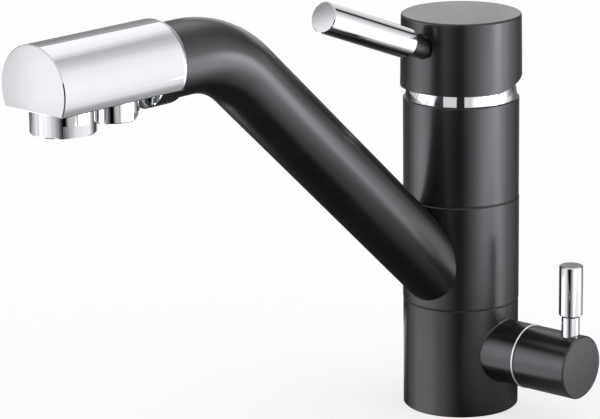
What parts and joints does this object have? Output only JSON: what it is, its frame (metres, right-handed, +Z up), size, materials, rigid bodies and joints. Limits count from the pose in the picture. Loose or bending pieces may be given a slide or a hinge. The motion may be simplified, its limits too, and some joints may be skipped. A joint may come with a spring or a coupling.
{
  "type": "three way filtered water tap",
  "caption": "Deck mounted kitchen tap: round column, swivel spout with separate mixed and filtered water nozzles, top lever mixer and side valve for filtered water.",
  "frame": {"origin": "centre of the base's underside, on the worktop", "axes": "+Z up along the column, -Y along the spout at rest, the filter valve towards about +X"},
  "size_m": [0.0915, 0.2721, 0.1995],
  "materials": {
    "satin_black": "satin black coat on brass and zinc",
    "chrome": "polished chrome plate",
    "black_steel": "blackened steel",
    "brass": "machined brass",
    "steel": "machined stainless steel",
    "black_rubber": "black rubber",
    "black_plastic": "black low friction plastic",
    "grey_plastic": "grey plastic",
    "white_plastic": "white plastic",
    "ceramic": "ground ceramic"
  },
  "bodies": {
    "column": {"base_body": "satin_black", "base_gasket": "black_rubber", "body_core": "brass", "core_o_rings": "black_rubber", "lower_slide_ring": "black_plastic", "upper_slide_ring": "black_plastic", "upper_body": "satin_black", "port_seals": "black_rubber", "cartridge_base": "grey_plastic", "cartridge_housing": "white_plastic", "fixed_disc": "ceramic", "cartridge_nut": "brass", "trim_dome": "chrome", "horn_ring": "chrome", "valve_seal": "black_rubber", "valve_bonnet": "brass", "valve_fixed_disc": "ceramic"},
    "spout": {"swivel_sleeve": "satin_black", "spout_tube": "satin_black", "filter_pipe": "white_plastic", "outlet_head": "chrome", "head_seal": "black_rubber", "mixed_nozzle": "chrome", "mixed_insert": "grey_plastic", "mixed_washer": "black_rubber", "filter_nozzle": "chrome", "filter_insert": "grey_plastic", "filter_washer": "black_rubber"},
    "carrier": {"stem_carrier": "grey_plastic", "pivot_pin": "steel"},
    "sliding_disc": {"moving_disc": "ceramic", "disc_driver": "grey_plastic"},
    "handle": {"cartridge_stem": "steel", "handle_cap": "satin_black", "lever_neck": "black_steel", "lever_rod": "chrome"},
    "filter_valve": {"valve_turning_disc": "ceramic", "valve_spindle": "brass", "valve_knob": "satin_black", "knob_pin": "chrome", "knob_screw": "steel"}
  },
  "joints": [
    {"name": "spout_swivel", "type": "hinge", "parent": "column", "child": "spout", "pos_m": [0, 0, 0.07], "axis": [0, 0, 1], "continuous": true},
    {"name": "handle_turn", "type": "hinge", "parent": "column", "child": "carrier", "pos_m": [0, 0, 0.136], "axis": [0, 0, 1], "range_deg": [-45, 45]},
    {"name": "handle_lift", "type": "hinge", "parent": "carrier", "child": "handle", "pos_m": [0, 0, 0.136], "axis": [-1, 0, 0], "range_deg": [0, 25]},
    {"name": "disc_slide", "type": "slide", "parent": "carrier", "child": "sliding_disc", "axis": [0, -1, 0], "range_m": [0, 0.0053]},
    {"name": "filter_valve_turn", "type": "hinge", "parent": "column", "child": "filter_valve", "pos_m": [0, 0, 0.0275], "axis": [0.9986, 0.0523, 0], "range_deg": [0, 90]}
  ],
  "couplings": [
    {"joint": "disc_slide", "follows": "handle_lift", "m_per_rad": 0.0121}
  ]
}
